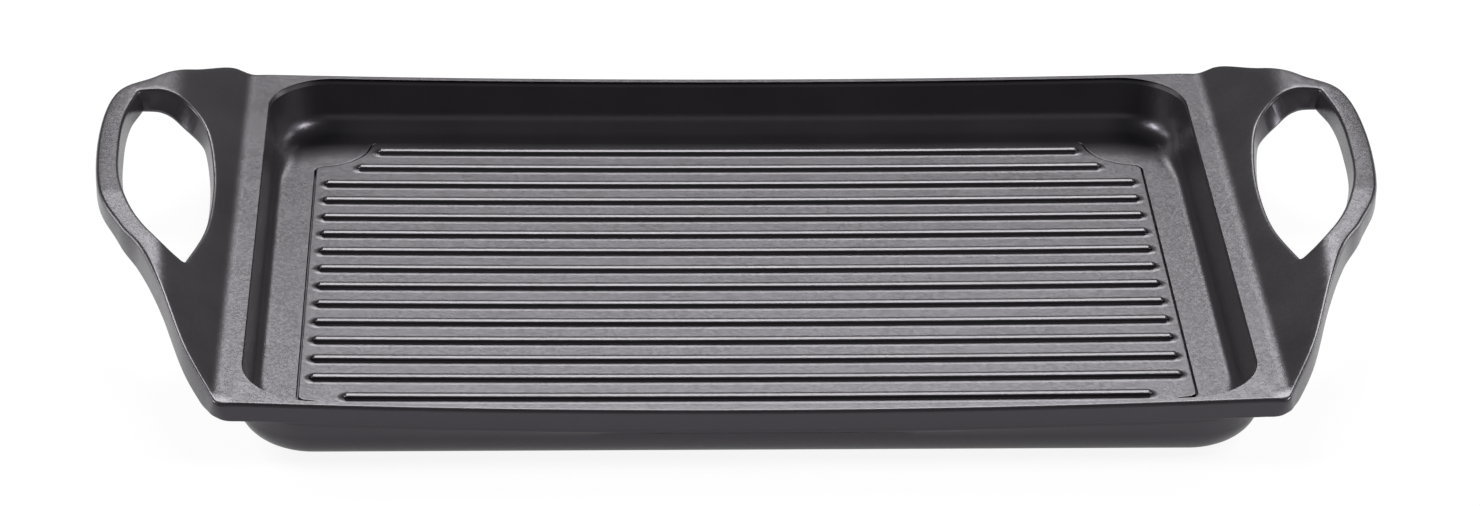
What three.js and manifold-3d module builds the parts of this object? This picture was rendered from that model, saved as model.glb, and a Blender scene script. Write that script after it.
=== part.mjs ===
// Griddle plate: a cast aluminium tray with two wing handles, a ribbed frying field and a perforated base
// plate. Millimetres, +Z up. The origin is the middle of the underside, +X points to the right handle and
// +Y to the back.

import * as THREE from "three";
import { mergeVertices } from "three/addons/utils/BufferGeometryUtils.js";
import Module from "manifold-3d";

const wasm = await Module();
wasm.setup();

// Tray, inside
const cookingLength = 350;
const cookingWidth = 250;
const insideCornerRadius = 25;
const insideLean = 3;
const footRadius = 8;
const floorThickness = 4.6;

// Tray, outside
const trayHeight = 26;
const wallThickness = 3;
const outsideLean = 1.2;
const undersideRadius = 16;

// Rim and lip
const sideRimWidth = 7.5;
const longRimWidth = 3.5;
const lipHeight = 7;
const lipFrontCorner = 8;
const lipBackCorner = 1;
const rimDip = 3;

// Handles
const handleReach = 51.3;
const handleThickness = 8;
const gripRise = 16.3;
const slopeRun = 27.2;
const kneeRun = 5;
const gripFrontRise = 8.2;
const gripFallRun = 8;

// Ribbed plate
const ribbedLength = 313.6;
const ribbedWidth = 220;
const notchRadius = 20.5;
const shoulderRadius = 3;
const ribbedThickness = 2.2;
const ribbedStep = 0.9;

// Ribs
const ribCount = 16;
const ribPitch = 13.55;
const ribWidth = 3.2;
const ribHeight = 2;
const ribRound = 0.9;
const ribRoot = 0.5;
const ribEndMargin = 3.7;
const secondRibSetback = 12;
const endRibSetback = 19.2;

// Induction base plate
const baseLength = 280;
const baseWidth = 180;
const baseCornerRadius = 22;
const baseThickness = 0.8;
const baseHole = 6;
const baseHolePitch = 20;
const baseHoleMargin = 10;

// Fits
const seatGap = 0.3;
const cutOverrun = 5;

// Smoothness of round stretches
const cornerSteps = 4;
const filletSteps = 6;
const bowSteps = 12;
const splineSteps = 3;
const kneeSteps = 5;
const holeSides = 8;
const ribEndSteps = 3;
const ribRoundSteps = 2;

// Worked out from the values above
const lipHalfLength = cookingLength / 2 + sideRimWidth;
const lipHalfWidth = cookingWidth / 2 + longRimWidth;
const lipBottom = trayHeight - lipHeight;
const ribbedTop = floorThickness + ribbedStep;
const handleFront = -(lipHalfWidth - lipFrontCorner);
const handleBack = lipHalfWidth - lipBackCorner;

// Plan outline of a handle's top edge, as shares of its reach and of its length from front to back
const handleEdgeShares = [
  [0, 0], [0.324, 0.155], [0.606, 0.323], [0.932, 0.488], [1, 0.667],
  [0.922, 0.807], [0.657, 0.8625], [0.398, 0.921], [0.168, 0.987], [0, 1],
];

// Plan outline of the finger hole: its front tip, its inner side to the back corner, then its grip side
const holeTipShare = [0.294, 0.313];
const holeInnerShares = [
  [0.193, 0.429], [0.166, 0.534], [0.187, 0.641], [0.263, 0.744],
  [0.409, 0.796], [0.595, 0.812], [0.76, 0.8085],
];
const holeGripShares = [
  [0.828, 0.728], [0.838, 0.639], [0.801, 0.526], [0.672, 0.425], [0.478, 0.347],
];
const gripLevelShare = 0.546;

// Solids and meshes

function toSolid(geometry) {
  geometry.deleteAttribute("normal");
  geometry.deleteAttribute("uv");
  const merged = mergeVertices(geometry);
  const vertProperties = new Float32Array(merged.attributes.position.array);
  const triVerts = new Uint32Array(merged.index.array);
  return new wasm.Manifold(new wasm.Mesh({ numProp: 3, vertProperties, triVerts }));
}

function toMesh(name, solid, material) {
  const cut = solid.getMesh();
  const geometry = new THREE.BufferGeometry();
  geometry.setAttribute("position", new THREE.BufferAttribute(cut.vertProperties, 3));
  geometry.setIndex(new THREE.BufferAttribute(cut.triVerts, 1));
  geometry.computeVertexNormals();
  const mesh = new THREE.Mesh(geometry, material);
  mesh.name = name;
  return mesh;
}

function prism(shape, depth, bottom, curveSegments) {
  const geometry = new THREE.ExtrudeGeometry(shape, { depth, bevelEnabled: false, curveSegments });
  return toSolid(geometry.translate(0, 0, bottom));
}

// A closed skin through outlines of equal point counts, stacked from the lowest to the highest
function loft(levels) {
  const count = levels[0].outline.length;
  const positions = levels.flatMap(({ outline, z }) => outline.flatMap((point) => [point.x, point.y, z]));
  const faces = [];
  for (let level = 0; level < levels.length - 1; level += 1) {
    for (let i = 0; i < count; i += 1) {
      const a = level * count + i;
      const b = level * count + ((i + 1) % count);
      faces.push(a, b, b + count, a, b + count, a + count);
    }
  }
  const top = (levels.length - 1) * count;
  for (const [a, b, c] of THREE.ShapeUtils.triangulateShape(levels[0].outline, [])) {
    faces.push(c, b, a, top + a, top + b, top + c);
  }
  const geometry = new THREE.BufferGeometry();
  geometry.setAttribute("position", new THREE.Float32BufferAttribute(positions, 3));
  geometry.setIndex(faces);
  return toSolid(geometry);
}

// Plan outlines

function roundedShape(halfLength, halfWidth, frontRadius, backRadius) {
  const shape = new THREE.Shape();
  shape.absarc(halfLength - frontRadius, frontRadius - halfWidth, frontRadius, -Math.PI / 2, 0);
  shape.absarc(halfLength - backRadius, halfWidth - backRadius, backRadius, 0, Math.PI / 2);
  shape.absarc(backRadius - halfLength, halfWidth - backRadius, backRadius, Math.PI / 2, Math.PI);
  shape.absarc(frontRadius - halfLength, frontRadius - halfWidth, frontRadius, Math.PI, 1.5 * Math.PI);
  shape.closePath();
  return shape;
}

function roundedOutline(halfLength, halfWidth, radius) {
  const points = roundedShape(halfLength, halfWidth, radius, radius).getPoints(cornerSteps);
  points.pop();
  return points;
}

// A rectangle whose corners are scooped out round the corner point, with a small shoulder at each end
function notchedShape(halfLength, halfWidth, notch, shoulder) {
  const shape = new THREE.Shape();
  const lean = Math.asin(shoulder / (notch + shoulder));
  const offset = (notch + shoulder) * Math.cos(lean);
  const corners = [[1, -1], [1, 1], [-1, 1], [-1, -1]];
  corners.forEach(([sideX, sideY], index) => {
    const turn = (index * Math.PI) / 2;
    const x = sideX * halfLength;
    const y = sideY * halfWidth;
    const alongX = [x - sideX * offset, y - sideY * shoulder];
    const alongY = [x - sideX * shoulder, y - sideY * offset];
    const [first, last] = index % 2 ? [alongY, alongX] : [alongX, alongY];
    shape.absarc(first[0], first[1], shoulder, turn - Math.PI / 2, turn - lean);
    shape.absarc(x, y, notch, turn + Math.PI - lean, turn + Math.PI / 2 + lean, true);
    shape.absarc(last[0], last[1], shoulder, turn - Math.PI / 2 + lean, turn);
  });
  shape.closePath();
  return shape;
}

function handlePoint(side, [reachShare, lengthShare]) {
  const x = lipHalfLength + seatGap + reachShare * handleReach;
  const y = THREE.MathUtils.lerp(handleFront, handleBack, lengthShare);
  return new THREE.Vector2(side * x, y);
}

function handleShape(side) {
  const place = (share) => handlePoint(side, share);
  const edge = handleEdgeShares.map(place);
  const shape = new THREE.Shape();
  shape.moveTo(edge[0].x, edge[0].y);
  shape.splineThru(edge.slice(1));
  shape.closePath();

  const tip = place(holeTipShare);
  const hole = new THREE.Path();
  hole.moveTo(tip.x, tip.y);
  hole.splineThru(holeInnerShares.map(place));
  hole.splineThru([...holeGripShares.map(place), tip]);
  shape.holes.push(hole);
  return shape;
}

// Tray

function trayOutside() {
  const halfLength = cookingLength / 2 + wallThickness;
  const halfWidth = cookingWidth / 2 + wallThickness;
  const radius = insideCornerRadius + wallThickness;
  const levelAt = (inset, z) => ({
    z,
    outline: roundedOutline(halfLength - inset, halfWidth - inset, radius - inset),
  });
  const levels = [];
  for (let i = 0; i <= filletSteps; i += 1) {
    const angle = (i / filletSteps) * (Math.PI / 2);
    const inset = outsideLean + undersideRadius * (1 - Math.sin(angle));
    levels.push(levelAt(inset, undersideRadius * (1 - Math.cos(angle))));
  }
  levels.push(levelAt(0, lipBottom + seatGap));
  return loft(levels);
}

function trayInside() {
  const leanPerHeight = insideLean / (trayHeight - floorThickness);
  const leanAt = (z) => (trayHeight - z) * leanPerHeight;
  const footTop = floorThickness + footRadius;
  const levelAt = (inset, z) => ({
    z,
    outline: roundedOutline(cookingLength / 2 - inset, cookingWidth / 2 - inset, insideCornerRadius - inset),
  });
  const levels = [];
  for (let i = 0; i <= filletSteps; i += 1) {
    const angle = (i / filletSteps) * (Math.PI / 2);
    const inset = leanAt(footTop) + footRadius * (1 - Math.sin(angle));
    levels.push(levelAt(inset, footTop - footRadius * Math.cos(angle)));
  }
  levels.push(levelAt(0, trayHeight), levelAt(0, trayHeight + cutOverrun));
  return loft(levels);
}

// The air above the long rims, which sink in a shallow bow between the corners
function rimBow() {
  const half = cookingLength / 2;
  const radius = (half * half + rimDip * rimDip) / (2 * rimDip);
  const angle = Math.asin(half / radius);
  const shape = new THREE.Shape();
  shape.absarc(0, radius - rimDip, radius, -Math.PI / 2 - angle, -Math.PI / 2 + angle);
  shape.lineTo(half, cutOverrun);
  shape.lineTo(-half, cutOverrun);
  shape.closePath();
  const depth = 2 * (lipHalfWidth + cutOverrun);
  const geometry = new THREE.ExtrudeGeometry(shape, { depth, bevelEnabled: false, curveSegments: bowSteps });
  return toSolid(geometry.rotateX(Math.PI / 2).translate(0, depth / 2, trayHeight));
}

function traySolid() {
  const lipShape = roundedShape(lipHalfLength, lipHalfWidth, lipFrontCorner, lipBackCorner);
  const lip = prism(lipShape, lipHeight, lipBottom, cornerSteps);
  const pocketFloor = ribbedTop - ribbedThickness - seatGap;
  const pocket = notchedShape(
    ribbedLength / 2 + seatGap,
    ribbedWidth / 2 + seatGap,
    notchRadius - seatGap,
    shoulderRadius + seatGap,
  );
  return trayOutside()
    .add(lip)
    .subtract(trayInside())
    .subtract(rimBow())
    .subtract(prism(pocket, ribbedStep + ribbedThickness + cutOverrun, pocketFloor, cornerSteps))
    .subtract(baseRecess());
}

// Handles

// The room under a handle's top face, lowered by drop: a slope that rolls over into the level grip, which
// falls away again towards the front
function underTop(side, drop) {
  const inner = lipHalfLength + seatGap;
  const outer = inner + handleReach + cutOverrun;
  const lift = trayHeight - drop;
  const level = lift + gripRise;
  const kneeStart = slopeRun - kneeRun;
  const knee = inner + slopeRun;
  const slope = new THREE.Shape();
  slope.moveTo(side * inner, -cutOverrun);
  slope.lineTo(side * inner, lift);
  slope.lineTo(side * (inner + kneeStart), lift + (gripRise * kneeStart) / slopeRun);
  slope.quadraticCurveTo(side * knee, level, side * (knee + kneeRun), level);
  slope.lineTo(side * outer, level);
  slope.lineTo(side * outer, -cutOverrun);
  slope.closePath();
  const depth = 2 * (lipHalfWidth + cutOverrun);
  const style = { bevelEnabled: false, curveSegments: kneeSteps };
  const across = new THREE.ExtrudeGeometry(slope, { ...style, depth });
  across.rotateX(Math.PI / 2).translate(0, depth / 2, 0);

  const levelStart = THREE.MathUtils.lerp(handleFront, handleBack, gripLevelShare);
  const fallStart = levelStart - gripFallRun;
  const fall = new THREE.Shape();
  fall.moveTo(handleFront, -cutOverrun);
  fall.lineTo(handleBack + cutOverrun, -cutOverrun);
  fall.lineTo(handleBack + cutOverrun, level);
  fall.lineTo(levelStart + gripFallRun, level);
  fall.quadraticCurveTo(levelStart, level, fallStart, lift + fallAt(fallStart));
  fall.lineTo(handleFront, lift + gripFrontRise);
  fall.closePath();
  const length = handleReach + 2 * cutOverrun;
  const along = new THREE.ExtrudeGeometry(fall, { ...style, depth: length });
  along.rotateX(Math.PI / 2).rotateZ(Math.PI / 2);
  along.translate(side > 0 ? inner - cutOverrun : cutOverrun - inner - length, 0, 0);
  return toSolid(across).intersect(toSolid(along));
}

// Height of the falling front part of the grip over the rim
function fallAt(y) {
  const levelStart = THREE.MathUtils.lerp(handleFront, handleBack, gripLevelShare);
  return THREE.MathUtils.mapLinear(y, handleFront, levelStart, gripFrontRise, gripRise);
}

function handleSolid(side) {
  const depth = trayHeight + gripRise + cutOverrun;
  return prism(handleShape(side), depth, 0, splineSteps)
    .intersect(underTop(side, 0))
    .subtract(underTop(side, handleThickness));
}

// Ribbed plate

function ribShape(halfLength, halfWidth) {
  const shape = new THREE.Shape();
  shape.absarc(halfLength - halfWidth, 0, halfWidth, -Math.PI / 2, Math.PI / 2);
  shape.absarc(halfWidth - halfLength, 0, halfWidth, Math.PI / 2, 1.5 * Math.PI);
  shape.closePath();
  return shape;
}

function ribHalfLength(index) {
  const fromEdge = Math.min(index, ribCount - 1 - index);
  const setback = [endRibSetback, secondRibSetback][fromEdge] ?? 0;
  return ribbedLength / 2 - ribEndMargin - setback;
}

function rib(index) {
  const core = ribShape(ribHalfLength(index) - ribRound, ribWidth / 2 - ribRound);
  const geometry = new THREE.ExtrudeGeometry(core, {
    depth: ribHeight - ribRound + ribRoot,
    bevelThickness: ribRound,
    bevelSize: ribRound,
    bevelSegments: ribRoundSteps,
    curveSegments: ribEndSteps,
  });
  return toSolid(geometry.translate(0, (index - (ribCount - 1) / 2) * ribPitch, ribbedTop - ribRoot));
}

function ribbedSolid() {
  const outline = notchedShape(ribbedLength / 2, ribbedWidth / 2, notchRadius, shoulderRadius);
  let solid = prism(outline, ribbedThickness, ribbedTop - ribbedThickness, cornerSteps);
  for (let index = 0; index < ribCount; index += 1) {
    solid = solid.add(rib(index));
  }
  return solid;
}

// Base plate and the casting's recess for it

// Places of the holes: staggered rows, every other one set over by half a pitch, clear of the round corners
function holePlaces() {
  const rowGap = baseHolePitch * Math.sin(Math.PI / 3);
  const rows = Math.floor((baseWidth / 2 - baseHoleMargin - baseHole / 2) / rowGap);
  const places = [];
  for (let row = -rows; row <= rows; row += 1) {
    const shift = row % 2 ? baseHolePitch / 2 : 0;
    const cornerRoom = Math.abs(row) === rows ? baseHole : 0;
    const room = baseLength / 2 - baseHoleMargin - baseHole / 2 - cornerRoom;
    const perSide = Math.floor((room - shift) / baseHolePitch);
    const start = shift ? -perSide - 1 : -perSide;
    for (let i = start; i <= perSide; i += 1) {
      places.push([shift + i * baseHolePitch, row * rowGap]);
    }
  }
  return places;
}

function pegs(radius, height, bottom) {
  const solids = holePlaces().map(([x, y]) => {
    const peg = new THREE.CylinderGeometry(radius, radius, height, holeSides);
    return toSolid(peg.rotateX(Math.PI / 2).translate(x, y, bottom + height / 2));
  });
  return solids.reduce((joined, peg) => joined.add(peg));
}

function baseSolid() {
  const outline = roundedShape(baseLength / 2, baseWidth / 2, baseCornerRadius, baseCornerRadius);
  const holes = pegs(baseHole / 2, baseThickness + 2 * cutOverrun, -cutOverrun);
  return prism(outline, baseThickness, 0, cornerSteps).subtract(holes);
}

// The recess leaves round bosses of the casting standing through the plate's holes
function baseRecess() {
  const corner = baseCornerRadius + seatGap;
  const outline = roundedShape(baseLength / 2 + seatGap, baseWidth / 2 + seatGap, corner, corner);
  const depth = baseThickness + seatGap;
  const bosses = pegs(baseHole / 2 - seatGap, depth + cutOverrun, 0);
  return prism(outline, depth + cutOverrun, -cutOverrun, cornerSteps).subtract(bosses);
}

// Finishes
const coatedCasting = new THREE.MeshStandardMaterial({ color: 0x59585c, roughness: 0.38, metalness: 0.35 });
const coatedHandle = new THREE.MeshStandardMaterial({ color: 0x59585c, roughness: 0.38, metalness: 0.35 });
const coatedRibs = new THREE.MeshStandardMaterial({ color: 0x626166, roughness: 0.36, metalness: 0.35 });
const brushedSteel = new THREE.MeshStandardMaterial({ color: 0xb4b5b7, roughness: 0.32, metalness: 1 });

const griddlePlate = new THREE.Group();
griddlePlate.add(toMesh("tray", traySolid(), coatedCasting));
griddlePlate.add(toMesh("left_handle", handleSolid(-1), coatedHandle));
griddlePlate.add(toMesh("right_handle", handleSolid(1), coatedHandle));
griddlePlate.add(toMesh("ribbed_plate", ribbedSolid(), coatedRibs));
griddlePlate.add(toMesh("induction_base_plate", baseSolid(), brushedSteel));

export default griddlePlate;
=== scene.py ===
import math

import bpy
import numpy as np
from mathutils import Matrix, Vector
from mathutils.geometry import delaunay_2d_cdt


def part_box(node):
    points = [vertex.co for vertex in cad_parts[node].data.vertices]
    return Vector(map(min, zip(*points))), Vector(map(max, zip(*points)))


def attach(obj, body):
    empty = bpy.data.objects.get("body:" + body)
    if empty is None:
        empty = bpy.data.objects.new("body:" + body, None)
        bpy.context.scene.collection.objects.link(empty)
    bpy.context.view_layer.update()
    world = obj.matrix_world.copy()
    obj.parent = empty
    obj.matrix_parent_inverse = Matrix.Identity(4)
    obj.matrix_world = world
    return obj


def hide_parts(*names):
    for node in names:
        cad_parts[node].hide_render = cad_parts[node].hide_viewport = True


# A cast griddle pan with a ribbed frying field, two wing handles and a perforated plate underneath.
# Shapes are worked out in millimetres and stored in metres; +X is the right handle, +Y the back rim.
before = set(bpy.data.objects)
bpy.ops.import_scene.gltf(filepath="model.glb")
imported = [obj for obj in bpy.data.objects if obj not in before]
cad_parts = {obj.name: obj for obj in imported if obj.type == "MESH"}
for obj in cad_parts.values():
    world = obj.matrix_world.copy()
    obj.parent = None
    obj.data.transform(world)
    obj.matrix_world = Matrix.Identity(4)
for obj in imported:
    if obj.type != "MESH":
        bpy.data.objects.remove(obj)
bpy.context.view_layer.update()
mm = 0.001


def nodeBox(node):
    low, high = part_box(node)
    return [c / mm for c in low], [c / mm for c in high]


trayHigh = nodeBox("tray")[1]
handleLow, handleHigh = nodeBox("right_handle")
ribbedLow, ribbedHigh = nodeBox("ribbed_plate")
baseLow, baseHigh = nodeBox("induction_base_plate")
print("frame loaded: tray", [round(c, 1) for c in trayHigh])


# Small helpers

meshing = {
    "smoothAngle": 34,      # degrees between two faces, above which their edge stays crisp
    "normalWeight": 90,
    "batch": 500,           # points that are measured at a time
    "tolerance": 1e-6,
}


def smoothStep(t):
    t = min(1.0, max(0.0, t))
    return t * t * (3 - 2 * t)


def arcPoints(cx, cy, radius, start, end, steps):
    angles = [start + (end - start) * i / steps for i in range(steps + 1)]
    return [(cx + radius * math.cos(a), cy + radius * math.sin(a)) for a in angles]


def linePoints(a, b, steps):
    return [(a[0] + (b[0] - a[0]) * i / steps, a[1] + (b[1] - a[1]) * i / steps) for i in range(steps + 1)]


def joinPoints(*runs):
    # one run of points from several, each starting where the last one ended
    points = list(runs[0])
    for run in runs[1:]:
        points += run[1:]
    return points


def mirrorHalf(half):
    # a closed outline from its right half, which runs from the front middle to the back middle
    return half + [(-point[0], *point[1:]) for point in half[-2:0:-1]]


def quarterProfile(radius, steps):
    # (inset, drop) pairs of a round edge, from the flat on top down to the side
    turns = [math.pi / 2 * i / steps for i in range(steps + 1)]
    return [(radius * (1 - math.sin(a)), radius * (1 - math.cos(a))) for a in turns]


def makeObject(name, points, faces, material):
    mesh = bpy.data.meshes.new(name)
    mesh.from_pydata([(x * mm, y * mm, z * mm) for x, y, z in points], [], faces)
    mesh.validate()
    mesh.update()
    mesh.shade_smooth()
    mesh.set_sharp_from_angle(angle=math.radians(meshing["smoothAngle"]))
    piece = bpy.data.objects.new(name, mesh)
    bpy.context.scene.collection.objects.link(piece)
    mesh.materials.append(material)
    return piece


def weightNormals(piece):
    # keeps wide flats flat next to their round edges
    modifier = piece.modifiers.new("weightedNormals", "WEIGHTED_NORMAL")
    modifier.keep_sharp = True
    modifier.weight = meshing["normalWeight"]


def distanceTo(points, outline, closed):
    # distance of each point to an outline
    a = np.array(outline)
    b = np.roll(a, -1, 0) if closed else a[1:]
    a = a if closed else a[:-1]
    ab = b - a
    squares = (ab ** 2).sum(1)
    batch = meshing["batch"]
    best = np.empty(len(points))
    for start in range(0, len(points), batch):
        p = points[start:start + batch]
        t = np.clip(((p[:, None] - a) * ab).sum(2) / squares, 0, 1)
        gap = p[:, None] - (a + t[:, :, None] * ab)
        best[start:start + batch] = np.sqrt((gap ** 2).sum(2).min(1))
    return best


def insideLoop(points, outline):
    loop = np.array(outline)
    nextLoop = np.roll(loop, -1, 0)
    inside = np.zeros(len(points), bool)
    for (x1, y1), (x2, y2) in zip(loop, nextLoop):
        if y1 == y2:
            continue
        crosses = (points[:, 1] >= min(y1, y2)) & (points[:, 1] < max(y1, y2))
        x = x1 + (points[:, 1] - y1) * (x2 - x1) / (y2 - y1)
        inside ^= crosses & (points[:, 0] < x)
    return inside


class Shell:
    # collects points and faces ring by ring
    def __init__(self):
        self.points = []
        self.faces = []

    def addRing(self, ring):
        start = len(self.points)
        self.points += ring
        return list(range(start, start + len(ring)))

    def bridge(self, lower, upper, closed=True):
        count = len(lower)
        for i in range(count if closed else count - 1):
            j = (i + 1) % count
            self.faces.append((lower[i], lower[j], upper[j], upper[i]))

    def fill(self, loops, up, inner=()):
        # fills the first loop, less the others, with triangles that also use the inner points
        order = [i for loop in loops for i in loop] + list(inner)
        flat = [self.points[i][:2] for i in order]
        edges, starts = [], [0]
        for loop in loops:
            first = starts[-1]
            edges += [(first + k, first + (k + 1) % len(loop)) for k in range(len(loop))]
            starts.append(first + len(loop))
        found = delaunay_2d_cdt(flat, edges, [], 0, meshing["tolerance"])
        corners, sources = found[2:4]
        tris = [[sources[k][0] for k in tri] for tri in corners]
        middles = np.array([np.mean([flat[k] for k in tri], 0) for tri in tris])
        kept = insideLoop(middles, flat[:starts[1]])
        for first, last in zip(starts[1:], starts[2:]):
            kept &= ~insideLoop(middles, flat[first:last])
        for tri in [tri for tri, keep in zip(tris, kept) if keep]:
            (ax, ay), (bx, by), (cx, cy) = (flat[k] for k in tri)
            a, b, c = (order[k] for k in tri)
            rising = (bx - ax) * (cy - ay) - (cx - ax) * (by - ay) > 0
            self.faces.append((a, b, c) if rising == up else (a, c, b))


# Finishes

def newMaterial(name):
    material = bpy.data.materials.new(name)
    material.use_nodes = True
    nodes = material.node_tree.nodes
    nodes.clear()
    return material, nodes, material.node_tree.links


def addNode(nodes, kind, **settings):
    node = nodes.new(kind)
    for key, value in settings.items():
        if key == "inputs":
            for name, put in value.items():
                node.inputs[name].default_value = put
        else:
            setattr(node, key, value)
    return node


noiseMiddle = (0.3, 0.7)    # nearly all of a noise lies between these


def addNoise(nodes, scale, detail, roughness):
    return addNode(nodes, "ShaderNodeTexNoise",
                   inputs={"Scale": scale, "Detail": detail, "Roughness": roughness})


def addRange(nodes, low, high):
    # spreads the middle of a noise from one roughness to another
    return addNode(nodes, "ShaderNodeMapRange", inputs={
        "From Min": noiseMiddle[0], "From Max": noiseMiddle[1], "To Min": low, "To Max": high})


coating = {
    "colour": (0.0105, 0.0097, 0.0111, 1),
    "paleColour": (0.018, 0.0167, 0.0188, 1),
    "roughness": 0.31,
    "roughnessSpread": 0.02,
    "ior": 1.5,
    "sheenTint": (1.0, 0.93, 1.05, 1),
    "flakeSize": 0.0009,    # in metres, as the waves are
    "flakeTilt": 0.036,     # how far single flakes lean, next to a normal of length 1
    "flakeMean": (0.5, 0.5, 0.5),   # middle of the random values that the flakes lean by
    "waveSize": 0.03,
    "waveHeight": 0.00006,
    "waveDetail": 3,
    "waveRoughness": 0.5,
}


def makeCoating(name, settings):
    # satin non-stick coating: dark, full of small flakes that each lean a little, and faintly uneven
    material, nodes, links = newMaterial(name)
    place = addNode(nodes, "ShaderNodeTexCoord")
    cloud = addNoise(nodes, 1 / settings["waveSize"], settings["waveDetail"], settings["waveRoughness"])
    flake = addNode(nodes, "ShaderNodeTexVoronoi", inputs={"Scale": 1 / settings["flakeSize"]})
    tint = addNode(nodes, "ShaderNodeMix", data_type="RGBA")
    tint.inputs["A"].default_value = settings["colour"]
    tint.inputs["B"].default_value = settings["paleColour"]
    spread = settings["roughnessSpread"]
    rough = addRange(nodes, settings["roughness"] - spread, settings["roughness"] + spread)
    wave = addNode(nodes, "ShaderNodeBump", inputs={"Strength": 1, "Distance": settings["waveHeight"]})
    centred = addNode(nodes, "ShaderNodeVectorMath", operation="SUBTRACT")
    centred.inputs[1].default_value = settings["flakeMean"]
    lean = addNode(nodes, "ShaderNodeVectorMath", operation="SCALE", inputs={"Scale": settings["flakeTilt"]})
    leaning = addNode(nodes, "ShaderNodeVectorMath", operation="ADD")
    facing = addNode(nodes, "ShaderNodeVectorMath", operation="NORMALIZE")
    shader = addNode(nodes, "ShaderNodeBsdfPrincipled", inputs={
        "IOR": settings["ior"],
        "Specular Tint": settings["sheenTint"]})
    output = addNode(nodes, "ShaderNodeOutputMaterial")
    for texture in (cloud, flake):
        links.new(place.outputs["Object"], texture.inputs["Vector"])
    links.new(cloud.outputs["Fac"], tint.inputs["Factor"])
    links.new(tint.outputs["Result"], shader.inputs["Base Color"])
    links.new(cloud.outputs["Fac"], rough.inputs["Value"])
    links.new(rough.outputs[0], shader.inputs["Roughness"])
    links.new(cloud.outputs["Fac"], wave.inputs["Height"])
    links.new(flake.outputs["Color"], centred.inputs[0])
    links.new(centred.outputs[0], lean.inputs[0])
    links.new(lean.outputs[0], leaning.inputs[0])
    links.new(wave.outputs["Normal"], leaning.inputs[1])
    links.new(leaning.outputs[0], facing.inputs[0])
    links.new(facing.outputs[0], shader.inputs["Normal"])
    links.new(shader.outputs[0], output.inputs[0])
    return material


steel = {
    "colour": (0.50, 0.50, 0.51, 1),
    "darkColour": (0.34, 0.34, 0.35, 1),
    "roughness": 0.3,
    "smoother": 0.06,       # the brushed lines lie between this much smoother
    "rougher": 0.1,         # and this much rougher
    "anisotropy": 0.5,
    "brushAcross": 2600,    # grains to the metre
    "brushAlong": 26,
    "brushDetail": 3,
    "brushRoughness": 0.6,
    "brushHeight": 0.00001,
    "stainScale": 22,
    "stainDetail": 4,
    "stainRoughness": 0.6,
}


def makeSteel(name, settings):
    # stamped steel with fine brushing along X
    material, nodes, links = newMaterial(name)
    place = addNode(nodes, "ShaderNodeTexCoord")
    stretch = addNode(nodes, "ShaderNodeMapping", inputs={
        "Scale": (settings["brushAlong"], settings["brushAcross"], settings["brushAlong"])})
    brush = addNoise(nodes, 1, settings["brushDetail"], settings["brushRoughness"])
    stain = addNoise(nodes, settings["stainScale"], settings["stainDetail"], settings["stainRoughness"])
    tint = addNode(nodes, "ShaderNodeMix", data_type="RGBA")
    tint.inputs["A"].default_value = settings["darkColour"]
    tint.inputs["B"].default_value = settings["colour"]
    rough = addRange(nodes, settings["roughness"] - settings["smoother"],
                     settings["roughness"] + settings["rougher"])
    bump = addNode(nodes, "ShaderNodeBump", inputs={"Strength": 1, "Distance": settings["brushHeight"]})
    shader = addNode(nodes, "ShaderNodeBsdfPrincipled", inputs={
        "Metallic": 1.0,
        "Anisotropic": settings["anisotropy"]})
    output = addNode(nodes, "ShaderNodeOutputMaterial")
    links.new(place.outputs["Object"], stretch.inputs["Vector"])
    links.new(stretch.outputs[0], brush.inputs["Vector"])
    links.new(place.outputs["Object"], stain.inputs["Vector"])
    links.new(stain.outputs["Fac"], tint.inputs["Factor"])
    links.new(tint.outputs["Result"], shader.inputs["Base Color"])
    links.new(brush.outputs["Fac"], rough.inputs["Value"])
    links.new(rough.outputs[0], shader.inputs["Roughness"])
    links.new(brush.outputs["Fac"], bump.inputs["Height"])
    links.new(bump.outputs["Normal"], shader.inputs["Normal"])
    links.new(shader.outputs[0], output.inputs[0])
    return material


trayCoating = makeCoating("trayCoating", coating)
handleCoating = makeCoating("handleCoating", coating)
ribCoating = makeCoating("ribCoating", coating)
brushedSteel = makeSteel("brushedSteel", steel)
print("finishes made")


# Handle outline and top, which the tray's rim meets

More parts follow.
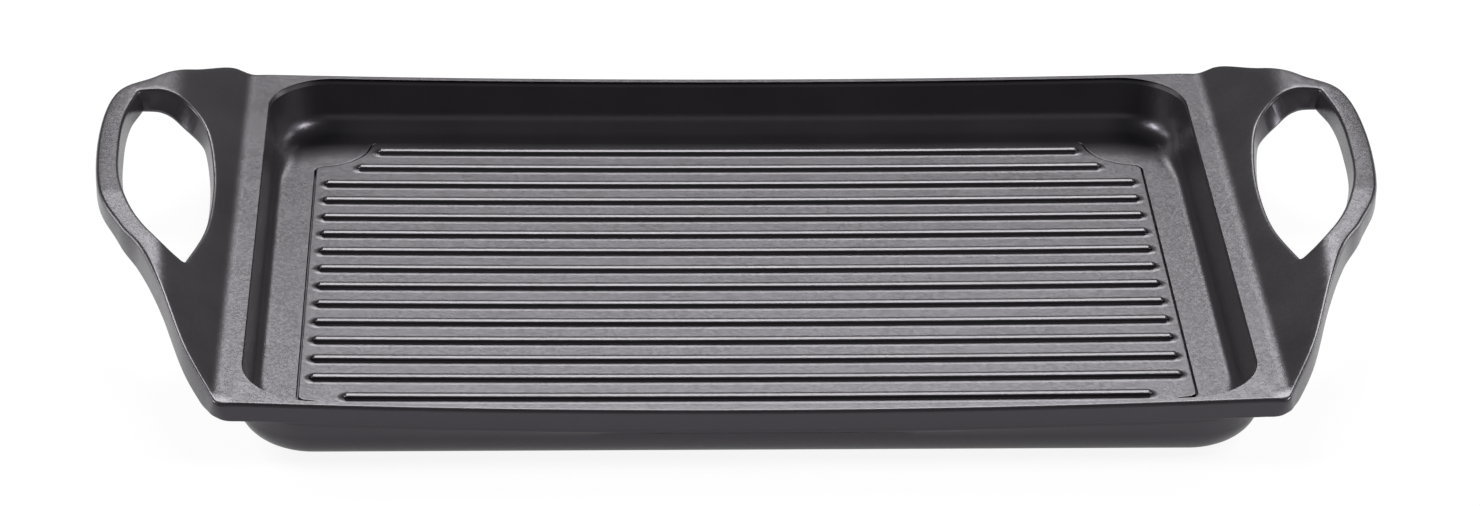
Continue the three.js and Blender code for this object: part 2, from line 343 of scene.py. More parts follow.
handle = {
    # knots as shares of the handle's box: the outer edge from the front corner to the back rim,
    # then the hole's front tip and its sides, to the back along the wing and to the front along the grip
    "edgeShares": [(0.058, -0.004), (0.244, 0.083), (0.419, 0.2065), (0.598, 0.317),
                   (0.764, 0.383), (0.943, 0.488), (1, 0.667), (0.922, 0.807),
                   (0.657, 0.8625), (0.398, 0.921), (0.168, 0.987)],
    "holeTipShare": (0.294, 0.313),
    "holeInnerShares": [(0.193, 0.429), (0.166, 0.534), (0.187, 0.641), (0.263, 0.744),
                        (0.409, 0.796), (0.595, 0.812), (0.76, 0.8085)],
    "holeGripShares": [(0.828, 0.728), (0.838, 0.639), (0.801, 0.526), (0.672, 0.425), (0.478, 0.347)],
    "holeSoftening": 3,     # rounds of smoothing
    "backRimKnot": (2.6, 0.75),     # from the rim's back corner, outwards and to the front
    "splitX": 176.9,        # where the handle's mesh meets the tray's, in the flat of the rim
    "slope": 0.6,           # rise of the wing per millimetre outwards
    "creaseHalf": 2.2,      # half width of the soft crease at the rim
    "kneeBlend": 3.4,       # how softly the wing rolls over into the grip
    "kneeBlendFront": 1.6,
    "kneeBlendStart": -30.0,    # behind here it goes over from the front's value to the other
    "kneeBlendLength": 50.0,
    "fallStart": -2.0,      # where the grip starts to fall towards the front
    "fallHalf": 1.6,
    "fallSlope": 0.042,
    "topRound": 1.4,
    "bottomRound": 1.7,
    "frontCornerRound": 4.0,
    "frontCornerRoundBelow": 8.4,
    "seamLength": 12.0,     # the bottom edge is tighter this close to the tray
    "rootThickness": 7.0,
    "gripThickness": 8.4,
    "thickenLength": 12.0,
    "frontDepth": 3.6,      # the wing's front edge is deeper by this much
    "depthOut": (-1.0, 7.0),        # where that starts and over what length it grows, outwards
    "depthForward": (-15.0, 30.0),  # and towards the front
    "holeDraft": 1.2,       # the hole is narrower below by this much
    "backDraft": 3.4,       # and by this much more round a place at its back
    "backDraftKnot": 5,     # that place is off this knot of the hole's wing side
    "backDraftOffset": (5.5, 4.0),
    "backDraftReach": 21.0,
    "step": 1.0,            # spacing of the points along the edges
    "gridStep": 2.2,        # and of those inside
    "gridGap": 0.6,         # between the last column over the crease and the first inside
    "gridMargin": 0.9,      # between those inside and the flat's edges
    "creaseStep": 0.4,      # spacing of the columns over the crease
    "creaseColumns": 20,
    "creaseRowStep": 1.5,
    "cutStep": 1.6,         # and of the points on the face against the tray
    "roundSteps": 6,
    "cornerSteps": 9,
    "straightSteps": 4,
}
rimTop = trayHigh[2]
lipHalfLength, lipHalfWidth = trayHigh[0], trayHigh[1]
gripTop = handleHigh[2]


def handlePlace(share):
    return (handleLow[0] + share[0] * (handleHigh[0] - handleLow[0]),
            handleLow[1] + share[1] * (handleHigh[1] - handleLow[1]))


def topHeight(x, y):
    # the rim's flat, the wing's slope and the grip as one surface
    half = handle["creaseHalf"]
    out = x - lipHalfLength
    if out <= -half:
        slope = 0.0
    elif out < half:
        slope = handle["slope"] * (out + half) ** 2 / (4 * half)
    else:
        slope = handle["slope"] * out
    behind = y - handle["fallStart"]
    fallHalf = handle["fallHalf"]
    if behind >= fallHalf:
        fall = 0.0
    elif behind > -fallHalf:
        fall = handle["fallSlope"] * (fallHalf - behind) ** 2 / (4 * fallHalf)
    else:
        fall = -handle["fallSlope"] * behind
    grip = gripTop - rimTop - fall
    back = smoothStep((y - handle["kneeBlendStart"]) / handle["kneeBlendLength"])
    blend = handle["kneeBlendFront"] + (handle["kneeBlend"] - handle["kneeBlendFront"]) * back
    near = max(blend - abs(slope - grip), 0) / blend
    return rimTop + min(slope, grip) - near * near * blend / 4


def splinePoints(knots, step):
    # smooth curve through the knots, the same kind as the solid's outline
    ends = [knots[0]] + knots + [knots[-1]]
    points = []
    for i in range(1, len(ends) - 2):
        p0, p1, p2, p3 = (np.array(ends[i + k - 1], float) for k in range(4))
        count = max(2, round(float(np.linalg.norm(p2 - p1)) / step))
        for k in range(count):
            t = k / count
            point = 0.5 * (2 * p1 + (p2 - p0) * t + (2 * p0 - 5 * p1 + 4 * p2 - p3) * t * t
                           + (3 * p1 - p0 - 3 * p2 + p3) * t ** 3)
            points.append((float(point[0]), float(point[1])))
    points.append(tuple(float(c) for c in knots[-1]))
    return points


def softenLoop(points, rounds):
    # takes the sharpness out of a closed outline's corners
    loop = np.array(points)
    for _ in range(rounds):
        loop = 0.25 * np.roll(loop, 1, 0) + 0.5 * loop + 0.25 * np.roll(loop, -1, 0)
    return [tuple(map(float, p)) for p in loop]


def leftNormals(points, closed):
    # unit normals to the left of an outline's run
    loop = np.array(points)
    if closed:
        along = np.roll(loop, -1, 0) - np.roll(loop, 1, 0)
    else:
        along = np.gradient(loop, axis=0)
    along /= np.linalg.norm(along, axis=1)[:, None]
    return np.stack([-along[:, 1], along[:, 0]], 1)


# Tray, with the sizes of the two plates that it is made round

tray = {
    "innerHalfLength": 175.0,
    "innerHalfWidth": 125.0,
    "cornerCentre": (150.0, 100.0),
    "floorTop": 5.25,
    "footRoundShort": 4.0,      # at the short walls
    "footRoundLong": 8.5,
    "footFade": 25.0,           # the one goes over into the other along this length
    "innerLean": 3.0,
    "innerEdgeRound": 0.9,
    "wall": 3.0,
    "outerLean": 1.2,
    "undersideRound": 16.0,
    "bodyRoundTop": 12.6,
    "frontDip": 3.8,        # the long rims sink this much towards their middle
    "backDip": 2.3,
    "dipFade": 20.0,        # that sets in along this length beyond the corners' centres
    "floorSag": 0.9,        # the floor sinks this much towards its middle
    "outerEdgeRound": 1.4,
    "lipHeight": 7.0,
    "lipBottomRound": 0.5,
    "underLipRound": 1.5,
    "underLipGap": 0.05,        # keeps this hollow's first ring clear of the lip
    "longHollow": (0.02, 0.03),     # at the long walls it has this share of its width, less an inset
    "pocketDepth": 2.25,
    "grooveGap": 0.55,
    "grooveRound": 0.35,
    "recessGap": 0.3,
    "recessRound": 0.3,
    "bossGap": 0.3,
    "bossRound": 0.3,
    # rings this far from a round edge keep the flat beside it flat
    "grooveMargin": 0.5,
    "footMargin": 0.6,
    "wallMargin": (0.25, 1.2),      # inwards and down
    "rimMargin": 0.3,
    "lipMargin": 0.25,
    "undersideMargin": 0.6,
    "frontSteps": 32,
    "sideSteps": 40,
    "cornerSteps": 24,
    "grooveSteps": 4,
    "footSteps": 12,
    "innerEdgeSteps": 5,
    "lipSteps": 6,
    "hollowSteps": 5,
    "undersideSteps": 12,
    "recessSteps": 3,
}
ribbed = {
    "notchRadius": 20.5,
    "shoulderRadius": 3.0,
    "top": 5.5,
    "edgeRound": 0.35,
    "edgeMargin": 0.4,
    "pitch": 13.55,
    "ribs": 16,
    "ribHalfWidth": 1.65,
    "ribHeight": 1.7,
    "roofHeight": 0.14,     # the top falls this much to both sides
    "roofPower": 1.6,
    "roofShares": (0.85, 0.7, 0.55, 0.4, 0.25, 0.1, 0.03),  # of its half width, where the rings run
    "sideEdge": (0.45, 0.45),   # the rounding's size across and down
    "endEdge": (1.3, 1.0),
    "footRound": 0.25,
    "tipReach": 0.35,       # the domed tips look shorter than they are
    "footReach": 2.1,       # how far the shallow foot runs out
    "footHeight": 0.3,
    "footShares": (1, 0.8, 0.6, 0.4, 0.2, 0),
    "footMargin": 0.1,
    "endMargin": 3.7,
    "setbacks": (19.2, 12.0),   # the outermost ribs are shorter by this at each end
    "shoulderSteps": 5,
    "notchSteps": 14,
    "plateEdgeSteps": 4,
    "alongSteps": 30,
    "tipSteps": 14,
    "footSteps": 3,
    "ribEdgeSteps": 6,
}
base = {
    "corner": 22.0,
    "hole": 6.0,
    "pitch": 20.0,
    "margin": 10.0,
    "edgeRound": 0.2,
    "edgeSteps": 3,
    "holeSteps": 28,
}


def roundedHalf(halfLength, halfWidth, radius):
    # right half of a rounded rectangle, from the front middle to the back middle
    cx, cy = halfLength - radius, halfWidth - radius
    return joinPoints(
        linePoints((0, -halfWidth), (cx, -halfWidth), tray["frontSteps"]),
        arcPoints(cx, -cy, radius, -math.pi / 2, 0, tray["cornerSteps"]),
        linePoints((halfLength, -cy), (halfLength, cy), tray["sideSteps"]),
        arcPoints(cx, cy, radius, 0, math.pi / 2, tray["cornerSteps"]),
        linePoints((cx, halfWidth), (0, halfWidth), tray["frontSteps"]))


def notchedHalf(grow):
    # right half of the ribbed field's outline: corners scooped out, with a small shoulder at each end
    a, b = ribbedHigh[0], ribbedHigh[1]
    notch, shoulder = ribbed["notchRadius"], ribbed["shoulderRadius"]
    lean = math.asin(shoulder / (notch + shoulder))
    reach = (notch + shoulder) * math.cos(lean)
    sideSteps, notchSteps = ribbed["shoulderSteps"], ribbed["notchSteps"]

    def corner(sign):
        first, last = (a - reach, b - shoulder), (a - shoulder, b - reach)
        quarter = math.pi / 2
        front = joinPoints(
            arcPoints(first[0], -first[1], shoulder + grow, -quarter, -lean, sideSteps),
            arcPoints(a, -b, notch - grow, math.pi - lean, quarter + lean, notchSteps),
            arcPoints(last[0], -last[1], shoulder + grow, lean - quarter, 0, sideSteps))
        return front if sign < 0 else [(x, -y) for x, y in front[::-1]]

    front, back = corner(-1), corner(1)
    return joinPoints(
        linePoints((0, -b - grow), front[0], tray["frontSteps"]), front,
        linePoints(front[-1], back[0], tray["sideSteps"]), back,
        linePoints(back[-1], (0, b + grow), tray["frontSteps"]))


def lipHalf(inset):
    # right half of the tray's outer edge, cut where the handle's mesh takes over
    split = handle["splitX"]
    cx, cy = tray["cornerCentre"]
    front, back = inset - lipHalfWidth, lipHalfWidth - inset
    halfCorner = tray["cornerSteps"] // 2
    return joinPoints(
        linePoints((0, front), (cx, front), tray["frontSteps"]),
        linePoints((cx, front), (split, front), halfCorner),
        linePoints((split, front), (split, -cy), halfCorner),
        linePoints((split, -cy), (split, cy), tray["sideSteps"]),
        linePoints((split, cy), (split, back), halfCorner),
        linePoints((split, back), (cx, back), halfCorner),
        linePoints((cx, back), (0, back), tray["frontSteps"]))


def rimDipAt(x, y):
    share = min(1.0, abs(x) / tray["innerHalfLength"])
    dip = tray["frontDip"] if y < 0 else tray["backDip"]
    across = smoothStep((abs(y) - tray["cornerCentre"][1]) / tray["dipFade"])
    return dip * across * (1 - share * share)


def floorSagAt(x):
    share = min(1.0, abs(x) / ribbedHigh[0])
    return tray["floorSag"] * (1 - share * share)


def footRing(half, turn, wallTurn, beyond):
    # one ring of the round between floor and wall, which is wider along the long walls and corners
    centreX, centreY = tray["cornerCentre"]
    points = []
    for x, y in half:
        outX, outY = max(x - centreX, 0), math.copysign(max(abs(y) - centreY, 0), y)
        reach = math.hypot(outX, outY)
        long = smoothStep(1 - (centreY - abs(y)) / tray["footFade"])
        foot = tray["footRoundShort"] + (tray["footRoundLong"] - tray["footRoundShort"]) * long
        inset = foot * (math.tan(wallTurn / 2) - math.sin(turn)) + tray["innerLean"] + beyond
        height = tray["floorTop"] - floorSagAt(x) + foot * (1 - math.cos(turn))
        points.append((x - outX / reach * inset, y - outY / reach * inset, height))
    return mirrorHalf(points)


def trayRings():
    # every ring of the tray's skin, from the pocket's floor out over the rim to the recess underneath
    rings = []

    def ring(half, height):
        outline = mirrorHalf(half)
        rings.append([(x, y, height(x, y) if callable(height) else height) for x, y in outline])

    floor, gap, groove = tray["floorTop"], tray["grooveGap"], tray["grooveRound"]

    def floorHeight(drop):
        return lambda x, y: floor - floorSagAt(x) - drop

    def rimHeight(drop):
        return lambda x, y: topHeight(abs(x), y) - rimDipAt(x, y) - drop

    def bodyHeight(drop):
        return lambda x, y: rimTop - tray["lipHeight"] - rimDipAt(x, y) - drop

    ring(notchedHalf(gap), floor - tray["pocketDepth"])
    for inset, drop in quarterProfile(groove, tray["grooveSteps"])[::-1]:
        ring(notchedHalf(gap + inset), floorHeight(drop))
    ring(notchedHalf(gap + groove + tray["grooveMargin"]), floorHeight(0))

    # the inner wall, from its foot up to the rim
    a, b = tray["innerHalfLength"], tray["innerHalfWidth"]
    corner = a - tray["cornerCentre"][0]
    wallTurn = math.pi / 2 - math.atan(tray["innerLean"] / (rimTop - floor))
    steps = tray["footSteps"]
    for turn, beyond in [(0, tray["footMargin"])] + [(wallTurn * i / steps, 0) for i in range(steps + 1)]:
        rings.append(footRing(roundedHalf(a, b, corner), turn, wallTurn, beyond))

    def rimRing(grow, drop):
        ring(roundedHalf(a + grow, b + grow, corner + grow), rimHeight(drop))

    edge = tray["innerEdgeRound"]
    wallInset, wallDrop = tray["wallMargin"]
    rimRing(-wallInset, edge + wallDrop)
    for inset, drop in quarterProfile(edge, tray["innerEdgeSteps"])[::-1]:
        rimRing(edge - inset, drop)
    rimRing(edge + tray["rimMargin"], 0)

    # the lip
    outer = tray["outerEdgeRound"]
    ring(lipHalf(outer + tray["lipMargin"]), rimHeight(0))
    for inset, drop in quarterProfile(outer, tray["lipSteps"]):
        ring(lipHalf(inset), rimHeight(drop))
    for inset, rise in quarterProfile(tray["lipBottomRound"], tray["lipSteps"])[::-1]:
        ring(lipHalf(inset), rimHeight(tray["lipHeight"] - rise))

    # the outer wall, from the hollow under the lip down to the underside
    wall = tray["wall"]
    longShare, longInset = tray["longHollow"]
    for grow, drop in quarterProfile(tray["underLipRound"], tray["hollowSteps"]):
        ring(roundedHalf(a + wall + grow, b + wall + longShare * grow - longInset, corner + wall + grow),
             bodyHeight(tray["underLipGap"] + drop))

    def bodyRing(inset, height):
        ring(roundedHalf(a + wall - inset, b + wall - inset, corner + wall - inset), height)

    lean, bend = tray["outerLean"], tray["undersideRound"]
    for up, inward in quarterProfile(1, tray["undersideSteps"]):
        bodyRing(lean + bend * inward, tray["bodyRoundTop"] * up)
    bodyRing(lean + bend + tray["undersideMargin"], 0)

    # the recess for the base plate
    recess = tray["recessGap"]

    def recessRing(grow, height):
        ring(roundedHalf(baseHigh[0] + grow, baseHigh[1] + grow, base["corner"] + grow), height)

    for inset, rise in quarterProfile(tray["recessRound"], tray["recessSteps"]):
        recessRing(recess + inset, rise)
    recessRing(recess, baseHigh[2] + recess)
    return rings


def holePlaces():
    # staggered rows, every other one set over by half a pitch, clear of the round corners
    pitch, hole, margin = base["pitch"], base["hole"], base["margin"]
    rowGap = pitch * math.sin(math.pi / 3)
    rows = math.floor((baseHigh[1] - margin - hole / 2) / rowGap)
    places = []
    for row in range(-rows, rows + 1):
        shift = pitch / 2 if row % 2 else 0
        room = baseHigh[0] - margin - hole / 2 - (hole if abs(row) == rows else 0)
        perSide = math.floor((room - shift) / pitch)
        start = -perSide - 1 if shift else -perSide
        places += [(shift + i * pitch, row * rowGap) for i in range(start, perSide + 1)]
    return places


def circleRing(place, radius, height, steps):
    points = arcPoints(place[0], place[1], radius, 0, 2 * math.pi, steps)[:-1]
    return [(x, y, height) for x, y in points]


def buildTray():
    shell = Shell()
    rings = [shell.addRing(ring) for ring in trayRings()]
    for lower, upper in zip(rings, rings[1:]):
        shell.bridge(upper, lower)
    shell.fill([rings[0]], up=True)
    bosses = []
    ceiling = baseHigh[2] + tray["recessGap"]
    radius = base["hole"] / 2 - tray["bossGap"]
    for place in holePlaces():
        bottomRing = shell.addRing(circleRing(place, radius, ceiling, base["holeSteps"]))
        bosses.append(bottomRing)
        last = bottomRing
        for inset, rise in quarterProfile(tray["bossRound"], tray["recessSteps"])[::-1]:
            ring = shell.addRing(circleRing(place, radius - inset, rise, base["holeSteps"]))
            shell.bridge(ring, last)
            last = ring
        shell.faces.append(tuple(last[::-1]))
    shell.fill([rings[-1]] + bosses, up=False)
    return makeObject("trayCasting", shell.points, shell.faces, trayCoating)


trayPiece = buildTray()
weightNormals(trayPiece)
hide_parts("tray")
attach(trayPiece, "root")
print("tray:", len(trayPiece.data.polygons), "faces")


# Handles

def handleEdge(radius):
    # the outer edge: along the front rim, round the corner, out to the grip and back to the back rim
    knots = [handlePlace(share) for share in handle["edgeShares"]]
    turn = math.atan2(knots[1][1] - knots[0][1], knots[1][0] - knots[0][0])
    apexX = knots[0][0] - (knots[0][1] + lipHalfWidth) / math.tan(turn)
    arcX = apexX - radius * math.tan(turn / 2)
    quarter = math.pi / 2
    arc = arcPoints(arcX, radius - lipHalfWidth, radius, -quarter, turn - quarter, handle["cornerSteps"])
    straight = linePoints(arc[-1], knots[0], handle["straightSteps"])[1:-1]
    outward, forward = handle["backRimKnot"]
    knots += [(lipHalfLength + outward, lipHalfWidth - forward), (handle["splitX"], lipHalfWidth)]
    run = [(handle["splitX"], -lipHalfWidth)] + arc + straight + splinePoints(knots, handle["step"])
    widest = handlePlace((1, 0))[0]     # the curve would bulge out a little beyond the grip's knot
    return [(min(x, widest), y) for x, y in run]


def handleHole():
    tip = handlePlace(handle["holeTipShare"])
    inner = [handlePlace(share) for share in handle["holeInnerShares"]]
    grip = [handlePlace(share) for share in handle["holeGripShares"]]
    run = splinePoints([tip] + inner, handle["step"])
    run += splinePoints([inner[-1]] + grip + [tip], handle["step"])[1:-1]
    return softenLoop(run, handle["holeSoftening"])


def bottomHeight(x, y):
    # the handle's underside: thicker towards the grip, deepest along the front edge
    out = x - lipHalfLength
    root, grip = handle["rootThickness"], handle["gripThickness"]
    thick = root + (grip - root) * smoothStep(out / handle["thickenLength"])
    outStart, outLength = handle["depthOut"]
    frontStart, frontLength = handle["depthForward"]
    deeper = handle["frontDepth"] * smoothStep((out - outStart) / outLength)
    return topHeight(x, y) - thick - deeper * smoothStep((frontStart - y) / frontLength)


def gridPoints(edge, hole, margin):
    # points inside the handle's plan: close columns over the crease, a wider grid elsewhere
    step, rowStep = handle["gridStep"], handle["creaseRowStep"]
    columns = [handle["splitX"] + handle["creaseStep"] * i for i in range(1, handle["creaseColumns"] + 1)]
    low, high = handleLow[1], handleHigh[1]
    points = [(x, low + rowStep * k) for x in columns for k in range(int((high - low) / rowStep) + 1)]
    row = 0
    y = low
    while y < high:
        x = columns[-1] + handle["gridGap"] + (step / 2 if row % 2 else 0)
        while x < handleHigh[0]:
            points.append((x, y))
            x += step
        y += step * math.sin(math.pi / 3)
        row += 1
    points = np.array(points)
    keep = insideLoop(points, edge) & ~insideLoop(points, hole)
    keep &= distanceTo(points, edge, closed=False) > margin
    keep &= distanceTo(points, hole, closed=True) > margin
    return [tuple(p) for p in points[keep]]


def buildHandle(name, side):
    edge, hole = handleEdge(handle["frontCornerRound"]), handleHole()
    edgeBelow = handleEdge(handle["frontCornerRoundBelow"])
    edgeIn, belowIn = leftNormals(edge, closed=False), leftNormals(edgeBelow, closed=False)
    for normals in (edgeIn, belowIn):
        normals[0], normals[-1] = (0, 1), (0, -1)
    holeIn = leftNormals(hole, closed=True)     # the hole runs clockwise, so these point into the metal too
    topRound, bottomRound = handle["topRound"], handle["bottomRound"]
    backKnot = handlePlace(handle["holeInnerShares"][handle["backDraftKnot"]])
    backX, backY = (c - off for c, off in zip(backKnot, handle["backDraftOffset"]))
    shell = Shell()

    def draftAt(x, y):
        near = 1 - math.hypot(x - backX, y - backY) / handle["backDraftReach"]
        return handle["holeDraft"] + handle["backDraft"] * smoothStep(near)

    def edgeRing(inset, level, drop):
        ring = []
        if level == "top":
            for (x, y), (nx, ny) in zip(edge, edgeIn):
                px, py = x + nx * inset, y + ny * inset
                ring.append((px, py, topHeight(px, py) - drop))
            return shell.addRing(ring)
        # the bottom edge is tight where it meets the tray's lip
        first, last = edgeBelow[0], edgeBelow[-1]
        tight = tray["lipBottomRound"] / bottomRound
        for (x, y), (nx, ny) in zip(edgeBelow, belowIn):
            seam = min(math.hypot(x - first[0], y - first[1]), math.hypot(x - last[0], y - last[1]))
            share = tight + (1 - tight) * smoothStep(seam / handle["seamLength"])
            px, py = x + nx * inset * share, y + ny * inset * share
            ring.append((px, py, bottomHeight(px, py) + drop * share))
        return shell.addRing(ring)

    def holeRing(inset, level, drop):
        ring = []
        for (x, y), (nx, ny) in zip(hole, holeIn):
            draft = 0 if level == "top" else draftAt(x, y)
            px, py = x + nx * (inset - draft), y + ny * (inset - draft)
            z = topHeight(x + nx * inset, y + ny * inset) - drop
            if level != "top":
                z = bottomHeight(x + nx * inset, y + ny * inset) + drop
            ring.append((px, py, z))
        return shell.addRing(ring)

    def skin(makeRing, closed):
        steps = handle["roundSteps"]
        rings = [makeRing(inset, "top", drop) for inset, drop in quarterProfile(topRound, steps)]
        rings += [makeRing(inset, "bottom", rise) for inset, rise in quarterProfile(bottomRound, steps)[::-1]]
        for upper, lower in zip(rings, rings[1:]):
            shell.bridge(lower, upper, closed)
        return rings

    edgeRings = skin(edgeRing, closed=False)
    holeRings = skin(holeRing, closed=True)

    # the flat face against the tray
    split = handle["splitX"]
    cutStart, cutEnd = edge[0][1] + topRound, edge[-1][1] - topRound
    steps = int((cutEnd - cutStart) / handle["cutStep"])
    cut = [(split, cutStart + (cutEnd - cutStart) * i / steps) for i in range(1, steps)]
    cutTop = shell.addRing([(x, y, topHeight(x, y)) for x, y in cut])
    cutBottom = shell.addRing([(x, y, bottomHeight(x, y)) for x, y in cut])
    topChain = [edgeRings[0][0]] + cutTop + [edgeRings[0][-1]]
    bottomChain = [edgeRings[-1][0]] + cutBottom + [edgeRings[-1][-1]]
    shell.bridge(topChain, bottomChain, closed=False)
    shell.faces.append(tuple(ring[0] for ring in edgeRings)[::-1])
    shell.faces.append(tuple(ring[-1] for ring in edgeRings))

    # top and bottom faces share one triangulation of the plan
    inner = gridPoints(edge, hole, max(topRound, bottomRound) + handle["gridMargin"])
    topInner = shell.addRing([(x, y, topHeight(x, y)) for x, y in inner])
    bottomInner = shell.addRing([(x, y, bottomHeight(x, y)) for x, y in inner])
    shell.fill([edgeRings[0] + cutTop[::-1], holeRings[0]], up=True, inner=topInner)
    shell.fill([edgeRings[-1] + cutBottom[::-1], holeRings[-1]], up=False, inner=bottomInner)

    points, faces = shell.points, shell.faces
    if side < 0:
        points = [(-x, y, z) for x, y, z in points]
        faces = [face[::-1] for face in faces]
    return makeObject(name, points, faces, handleCoating)


for side, name, node in ((1, "rightHandle", "right_handle"), (-1, "leftHandle", "left_handle")):
    handlePiece = buildHandle(name, side)
    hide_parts(node)
    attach(handlePiece, "root")
print("handles:", len(handlePiece.data.polygons), "faces each")


# Ribbed plate

def ribHalfLength(index):
    fromEdge = min(index, ribbed["ribs"] - 1 - index)
    setback = ribbed["setbacks"][fromEdge] if fromEdge < len(ribbed["setbacks"]) else 0
    return ribbedHigh[0] - ribbed["endMargin"] - setback


def ribRing(index, plain, domed):
    # stadium outline round a rib's middle line; plain and domed are (reach, height) at its sides and tips
    middle = (index - (ribbed["ribs"] - 1) / 2) * ribbed["pitch"]
    core = ribHalfLength(index) - ribbed["ribHalfWidth"] + ribbed["tipReach"]
    steps, alongSteps = ribbed["tipSteps"], ribbed["alongSteps"]
    points = []
    for side in (1, -1):
        for i in range(alongSteps):
            points.append((side * core * (2 * i / alongSteps - 1), middle - side * plain[0], plain[1]))
        for i in range(steps):
            turn = math.pi * i / steps
            reach, height = (a + (b - a) * math.sin(turn) for a, b in zip(plain, domed))
            x, y = side * (core + reach * math.sin(turn)), middle - side * reach * math.cos(turn)
            points.append((x, y, height))
    return [(x, y, ribbed["top"] + height - floorSagAt(x)) for x, y, height in points]


def ribProfile(edge, edgeDepth):
    # (reach, height above the plate): a shallow foot, the steep side and the slightly domed top
    half, high, roof = ribbed["ribHalfWidth"], ribbed["ribHeight"], ribbed["roofHeight"]
    reach, footHigh, footRound = ribbed["footReach"], ribbed["footHeight"], ribbed["footRound"]
    side = high - roof - edgeDepth
    profile = [(half + footRound + reach + ribbed["footMargin"], 0)]
    for share in ribbed["footShares"]:
        profile.append((half + footRound + reach * share, footHigh * (1 - share) ** 2))
    for out, up in quarterProfile(footRound, ribbed["footSteps"])[1:]:
        profile.append((half + out, footHigh + up))
    steps = ribbed["ribEdgeSteps"]
    for i in range(steps + 1):
        turn = math.pi / 2 * i / steps
        profile.append((half - edge * (1 - math.cos(turn)), side + edgeDepth * math.sin(turn)))
    for share in ribbed["roofShares"]:
        profile.append(((half - edge) * share, high - roof * share ** ribbed["roofPower"]))
    return profile


def buildRibbedPlate():
    shell = Shell()
    top, bottom, edge = ribbed["top"], ribbedLow[2], ribbed["edgeRound"]

    def plateRing(grow, height, sags=True):
        outline = mirrorHalf(notchedHalf(grow))
        return shell.addRing([(x, y, height - (floorSagAt(x) if sags else 0)) for x, y in outline])

    rings = [plateRing(0, bottom, sags=False)]
    for inset, drop in quarterProfile(edge, ribbed["plateEdgeSteps"])[::-1]:
        rings.append(plateRing(-inset, top - drop))
    rings.append(plateRing(-edge - ribbed["edgeMargin"], top))
    for lower, upper in zip(rings, rings[1:]):
        shell.bridge(lower, upper)
    shell.fill([rings[0]], up=False)
    feet = []
    for index in range(ribbed["ribs"]):
        last = None
        for plain, domed in zip(ribProfile(*ribbed["sideEdge"]), ribProfile(*ribbed["endEdge"])):
            ring = shell.addRing(ribRing(index, plain, domed))
            if last is None:
                feet.append(ring)
            else:
                shell.bridge(last, ring)
            last = ring
        shell.fill([last], up=True)
    shell.fill([rings[-1]] + feet, up=True)
    return makeObject("ribbedPlate", shell.points, shell.faces, ribCoating)


ribbedPiece = buildRibbedPlate()
weightNormals(ribbedPiece)
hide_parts("ribbed_plate")
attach(ribbedPiece, "root")
print("ribbed plate:", len(ribbedPiece.data.polygons), "faces")


# Base plate

def buildBasePlate():
    shell = Shell()
    bottom, top = baseLow[2], baseHigh[2]
    edge = quarterProfile(base["edgeRound"], base["edgeSteps"])
    profile = [(inset, bottom + drop) for inset, drop in edge]
    profile += [(inset, top - drop) for inset, drop in edge[::-1]]

    def plateRing(inset, z):
        half = roundedHalf(baseHigh[0] - inset, baseHigh[1] - inset, base["corner"] - inset)
        return shell.addRing([(x, y, z) for x, y in mirrorHalf(half)])

    rings = [plateRing(inset, z) for inset, z in profile]
    for lower, upper in zip(rings, rings[1:]):
        shell.bridge(lower, upper)
    lowRims, highRims = [], []
    for place in holePlaces():
        holeRings = [shell.addRing(circleRing(place, base["hole"] / 2 + inset, z, base["holeSteps"]))
                     for inset, z in profile]
        for lower, upper in zip(holeRings, holeRings[1:]):
            shell.bridge(upper, lower)
        lowRims.append(holeRings[0])
        highRims.append(holeRings[-1])
    shell.fill([rings[0]] + lowRims, up=False)
    shell.fill([rings[-1]] + highRims, up=True)
    return makeObject("basePlate", shell.points, shell.faces, brushedSteel)


basePiece = buildBasePlate()
weightNormals(basePiece)
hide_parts("induction_base_plate")
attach(basePiece, "root")
print("base plate:", len(basePiece.data.polygons), "faces")


# Camera: seen from the front, a little left of the middle, 28 degrees above

camera = {
    "lens": 119.2,
    "sensor": 36.0,
    "yaw": math.radians(2.785),
    "pitch": math.radians(27.79),
    "roll": math.radians(1.134),
    "aim": (-0.82, -20.35, 26.0),
    "distance": 1758.0,
    "clip": (0.05, 50),     # metres
}


def makeCamera():
    yaw, pitch, roll = camera["yaw"], camera["pitch"], camera["roll"]
    ahead = np.array([math.sin(yaw) * math.cos(pitch), math.cos(yaw) * math.cos(pitch), -math.sin(pitch)])
    level = np.array([math.cos(yaw), -math.sin(yaw), 0])
    up = np.cross(level, ahead)
    across = math.cos(roll) * level + math.sin(roll) * up
    upright = -math.sin(roll) * level + math.cos(roll) * up
    place = np.array(camera["aim"]) - ahead * camera["distance"]
    data = bpy.data.cameras.new("camera")
    data.sensor_width = camera["sensor"]
    data.lens = camera["lens"]
    data.clip_start, data.clip_end = camera["clip"]
    view = bpy.data.objects.new("camera", data)
    bpy.context.scene.collection.objects.link(view)
    view.matrix_world = Matrix((
        (across[0], upright[0], -ahead[0], place[0] * mm),
        (across[1], upright[1], -ahead[1], place[1] * mm),
        (across[2], upright[2], -ahead[2], place[2] * mm),
        (0, 0, 0, 1)))
    bpy.context.scene.camera = view


makeCamera()


# Floor, lamps and surroundings

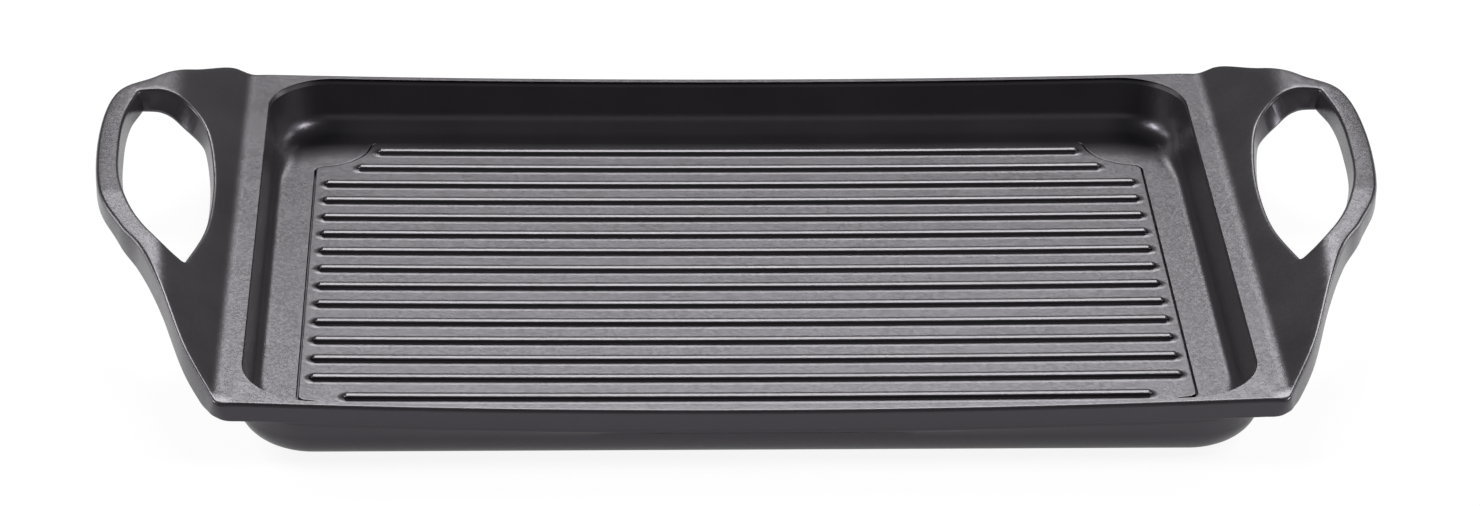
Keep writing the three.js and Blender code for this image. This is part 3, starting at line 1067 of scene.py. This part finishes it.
studio = {
    "floorSize": 12.0,      # metres, as all lengths of the studio
    "floorGap": 0.00005,    # keeps the floor clear of the flat underside
    "floorColour": (0.92, 0.92, 0.93, 1),
    "whiteToCamera": 0.9,   # share of plain white in the floor, the rest keeps the shadow
    "whiteInGloss": 0.5,
    "surround": 0.11,       # even light from all around
    # low and high are the middles of a lamp's lower and upper edge
    "softboxes": {
        "back": {"radiance": 14.5, "width": 1.9, "low": (0.13, 3.2, 2.2), "high": (0.13, 2.4, 3.1)},
        "front": {"radiance": 0.6, "width": 2.4, "low": (0.0, -2.6, 0.5), "high": (0.0, -2.3, 1.5)},
        "leftWall": {"radiance": 1.3, "width": 1.4, "low": (-1.6, 0.25, 0.02), "high": (-1.6, 0.25, 0.9)},
        "rightWall": {"radiance": 1.3, "width": 1.4, "low": (1.6, 0.25, 0.02), "high": (1.6, 0.25, 0.9)},
        "leftStrip": {"radiance": 10.0, "width": 0.3, "low": (-1.5, 0.75, 0.25), "high": (-1.5, 0.75, 1.15)},
        "rightStrip": {"radiance": 10.0, "width": 0.3, "low": (1.5, 0.75, 0.25), "high": (1.5, 0.75, 1.15)},
        "leftStrobe": {
            "radiance": 46.0, "width": 0.35, "low": (-1.35, -0.12, 0.78), "high": (-1.2, -0.1, 1.08)},
        "rightStrobe": {
            "radiance": 46.0, "width": 0.35, "low": (1.3, -0.4, 0.78), "high": (1.15, -0.36, 1.08)},
    },
}


def makeFloor():
    size, low = studio["floorSize"], -studio["floorGap"]
    mesh = bpy.data.meshes.new("floor")
    corners = [(-size, -size, low), (size, -size, low), (size, size, low), (-size, size, low)]
    mesh.from_pydata(corners, [], [(0, 1, 2, 3)])
    floor = bpy.data.objects.new("floor", mesh)
    bpy.context.scene.collection.objects.link(floor)
    material, nodes, links = newMaterial("paleFloor")
    path = addNode(nodes, "ShaderNodeLightPath")
    seenShiny = addNode(nodes, "ShaderNodeMath", operation="ADD", use_clamp=True)
    shinyShare = addNode(nodes, "ShaderNodeMath", operation="MULTIPLY", inputs={1: studio["whiteInGloss"]})
    share = addNode(nodes, "ShaderNodeMath", operation="MULTIPLY_ADD", inputs={1: studio["whiteToCamera"]})
    matt = addNode(nodes, "ShaderNodeBsdfDiffuse", inputs={"Color": studio["floorColour"]})
    white = addNode(nodes, "ShaderNodeEmission", inputs={"Color": (1, 1, 1, 1), "Strength": 1})
    mix = addNode(nodes, "ShaderNodeMixShader")
    output = addNode(nodes, "ShaderNodeOutputMaterial")
    links.new(path.outputs["Is Glossy Ray"], seenShiny.inputs[0])
    links.new(path.outputs["Is Transmission Ray"], seenShiny.inputs[1])
    links.new(seenShiny.outputs[0], shinyShare.inputs[0])
    links.new(path.outputs["Is Camera Ray"], share.inputs[0])
    links.new(shinyShare.outputs[0], share.inputs[2])
    links.new(share.outputs[0], mix.inputs[0])
    links.new(matt.outputs[0], mix.inputs[1])
    links.new(white.outputs[0], mix.inputs[2])
    links.new(mix.outputs[0], output.inputs[0])
    mesh.materials.append(material)


def makeSoftbox(name, box):
    # a rectangular lamp that faces the griddle
    low, high = np.array(box["low"]), np.array(box["high"])
    tall = float(np.linalg.norm(high - low))
    data = bpy.data.lights.new(name, "AREA")
    data.shape = "RECTANGLE"
    data.size, data.size_y = box["width"], tall
    data.energy = box["radiance"] * math.pi * box["width"] * tall
    lamp = bpy.data.objects.new(name, data)
    bpy.context.scene.collection.objects.link(lamp)
    place = (low + high) / 2
    up = (high - low) / tall
    across = np.cross(up, place)
    across /= np.linalg.norm(across)
    back = np.cross(across, up)
    lamp.matrix_world = Matrix((
        (across[0], up[0], back[0], place[0]),
        (across[1], up[1], back[1], place[1]),
        (across[2], up[2], back[2], place[2]),
        (0, 0, 0, 1)))


def makeWorld():
    world = bpy.data.worlds.new("studio")
    world.use_nodes = True
    world.node_tree.nodes["Background"].inputs["Color"].default_value = (1, 1, 1, 1)
    world.node_tree.nodes["Background"].inputs["Strength"].default_value = studio["surround"]
    bpy.context.scene.world = world


makeFloor()
for name, box in studio["softboxes"].items():
    makeSoftbox(name + "Softbox", box)
makeWorld()
bpy.context.scene.view_settings.view_transform = "Standard"
print("stage set")
